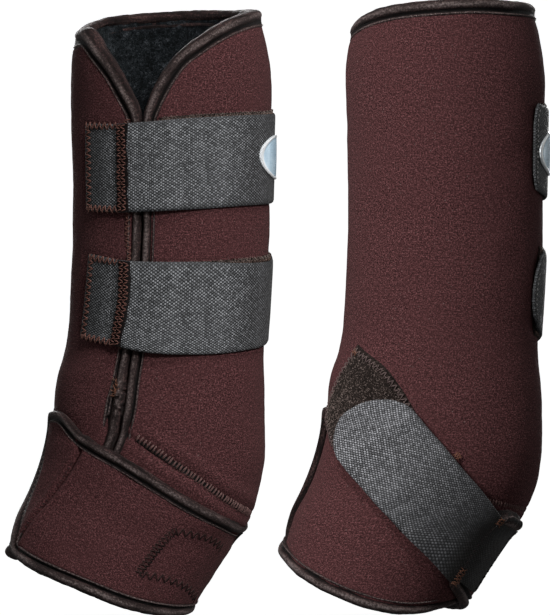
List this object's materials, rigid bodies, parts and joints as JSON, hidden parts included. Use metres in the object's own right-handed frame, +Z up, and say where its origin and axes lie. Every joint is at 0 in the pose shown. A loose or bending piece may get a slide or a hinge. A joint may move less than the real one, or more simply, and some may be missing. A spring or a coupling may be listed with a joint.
{
  "type": "pair of tendon boots",
  "caption": "Tall neoprene horse leg boots, a mirrored near and off one, that wrap the cannon and fetlock, with peel-open hook-and-loop straps and a fetlock sling that unwraps.",
  "frame": {"origin": "midway between the two leg axes, level with the lowest edge of the boots", "axes": "+Z up the legs, -X to the front of the legs, +Y from the near side to the off side"},
  "size_m": [0.2995, 0.1134, 0.3321],
  "materials": {
    "neoprene": "dark maroon-brown nylon jersey laminated to neoprene foam, matte with a fine pile",
    "lining": "black pile lining",
    "binding": "dark brown stretch binding tape, slight sheen",
    "webbing": "charcoal woven strap, fine twill",
    "hook": "moulded hook tape",
    "loop": "brushed loop pile, dark grey-brown",
    "thread": "rust-brown sewing thread",
    "badge": "plain pale silvery-blue oval, satin"
  },
  "bodies": {
    "boots": {"left_cannon_shell": "neoprene", "left_cannon_lining": "lining", "left_fetlock_panel": "neoprene", "left_fetlock_lining": "lining", "left_rim_binding": "binding", "left_front_edge_binding": "binding", "left_rear_edge_binding": "binding", "left_bottom_binding": "binding", "left_fetlock_seam": "thread", "left_sling_panel": "neoprene", "left_sling_binding": "binding", "left_upper_strap_base": "webbing", "left_upper_loop_patch": "loop", "left_lower_strap_base": "webbing", "left_lower_loop_patch": "loop", "left_fetlock_loop_patch": "loop", "right_cannon_shell": "neoprene", "right_cannon_lining": "lining", "right_fetlock_panel": "neoprene", "right_fetlock_lining": "lining", "right_rim_binding": "binding", "right_front_edge_binding": "binding", "right_rear_edge_binding": "binding", "right_bottom_binding": "binding", "right_fetlock_seam": "thread", "right_sling_panel": "neoprene", "right_sling_binding": "binding", "right_upper_strap_base": "webbing", "right_upper_loop_patch": "loop", "right_lower_strap_base": "webbing", "right_lower_loop_patch": "loop", "right_fetlock_loop_patch": "loop"},
    "left_sling_tail": {"left_sling_tail": "neoprene", "left_sling_tail_binding": "binding", "left_fetlock_strap_base": "webbing"},
    "left_upper_strap": {"left_upper_strap": "webbing"},
    "left_upper_strap_end": {"left_upper_strap_end": "webbing", "left_upper_hook_patch": "hook", "left_upper_badge": "badge"},
    "left_lower_strap": {"left_lower_strap": "webbing"},
    "left_lower_strap_end": {"left_lower_strap_end": "webbing", "left_lower_hook_patch": "hook"},
    "left_fetlock_strap": {"left_fetlock_strap": "webbing", "left_fetlock_hook_patch": "hook"},
    "right_sling_tail": {"right_sling_tail": "neoprene", "right_sling_tail_binding": "binding", "right_fetlock_strap_base": "webbing"},
    "right_upper_strap": {"right_upper_strap": "webbing"},
    "right_upper_strap_end": {"right_upper_strap_end": "webbing", "right_upper_hook_patch": "hook", "right_upper_badge": "badge"},
    "right_lower_strap": {"right_lower_strap": "webbing"},
    "right_lower_strap_end": {"right_lower_strap_end": "webbing", "right_lower_hook_patch": "hook"},
    "right_fetlock_strap": {"right_fetlock_strap": "webbing", "right_fetlock_hook_patch": "hook"}
  },
  "joints": [
    {"name": "left_upper_strap_peel", "type": "hinge", "parent": "boots", "child": "left_upper_strap", "pos_m": [-0.09962, -0.04675, 0.24074], "axis": [0.0064, 0.0109, -0.9999], "range_deg": [0, 115]},
    {"name": "left_upper_strap_end_peel", "type": "hinge", "parent": "left_upper_strap", "child": "left_upper_strap_end", "pos_m": [-0.03788, -0.04091, 0.24443], "axis": [-0.0104, 0.0094, -0.9999], "range_deg": [0, 69]},
    {"name": "left_lower_strap_peel", "type": "hinge", "parent": "boots", "child": "left_lower_strap", "pos_m": [-0.10149, -0.04678, 0.16738], "axis": [-0.0636, -0.012, -0.9979], "range_deg": [0, 115]},
    {"name": "left_lower_strap_end_peel", "type": "hinge", "parent": "left_lower_strap", "child": "left_lower_strap_end", "pos_m": [-0.04001, -0.04087, 0.16508], "axis": [-0.0564, -0.0115, -0.9983], "range_deg": [0, 69]},
    {"name": "left_sling_tail_unwrap", "type": "hinge", "parent": "boots", "child": "left_sling_tail", "pos_m": [-0.06554, -0.04359, 0.03196], "axis": [-0.5574, -0.0083, -0.8302], "range_deg": [0, 20]},
    {"name": "left_fetlock_strap_peel", "type": "hinge", "parent": "left_sling_tail", "child": "left_fetlock_strap", "pos_m": [-0.0563, 0.04236, 0.03733], "axis": [-0.5999, 0.0343, -0.7994], "range_deg": [0, 90]},
    {"name": "right_upper_strap_peel", "type": "hinge", "parent": "boots", "child": "right_upper_strap", "pos_m": [0.04888, 0.04675, 0.24274], "axis": [-0.0064, 0.0109, 0.9999], "range_deg": [0, 115]},
    {"name": "right_upper_strap_end_peel", "type": "hinge", "parent": "right_upper_strap", "child": "right_upper_strap_end", "pos_m": [0.11062, 0.04091, 0.24643], "axis": [0.0104, 0.0094, 0.9999], "range_deg": [0, 69]},
    {"name": "right_lower_strap_peel", "type": "hinge", "parent": "boots", "child": "right_lower_strap", "pos_m": [0.04701, 0.04678, 0.16938], "axis": [0.0636, -0.012, 0.9979], "range_deg": [0, 115]},
    {"name": "right_lower_strap_end_peel", "type": "hinge", "parent": "right_lower_strap", "child": "right_lower_strap_end", "pos_m": [0.10849, 0.04087, 0.16708], "axis": [0.0564, -0.0115, 0.9983], "range_deg": [0, 69]},
    {"name": "right_sling_tail_unwrap", "type": "hinge", "parent": "boots", "child": "right_sling_tail", "pos_m": [0.08296, 0.04359, 0.03396], "axis": [0.5574, -0.0083, 0.8302], "range_deg": [0, 20]},
    {"name": "right_fetlock_strap_peel", "type": "hinge", "parent": "right_sling_tail", "child": "right_fetlock_strap", "pos_m": [0.0922, -0.04236, 0.03933], "axis": [0.5999, 0.0343, 0.7994], "range_deg": [0, 90]}
  ],
  "couplings": [
    {"joint": "left_upper_strap_end_peel", "follows": "left_upper_strap_peel", "ratio": 0.6},
    {"joint": "left_lower_strap_end_peel", "follows": "left_lower_strap_peel", "ratio": 0.6},
    {"joint": "left_fetlock_strap_peel", "follows": "left_sling_tail_unwrap", "ratio": 4.5},
    {"joint": "right_upper_strap_end_peel", "follows": "right_upper_strap_peel", "ratio": 0.6},
    {"joint": "right_lower_strap_end_peel", "follows": "right_lower_strap_peel", "ratio": 0.6},
    {"joint": "right_fetlock_strap_peel", "follows": "right_sling_tail_unwrap", "ratio": 4.5}
  ]
}
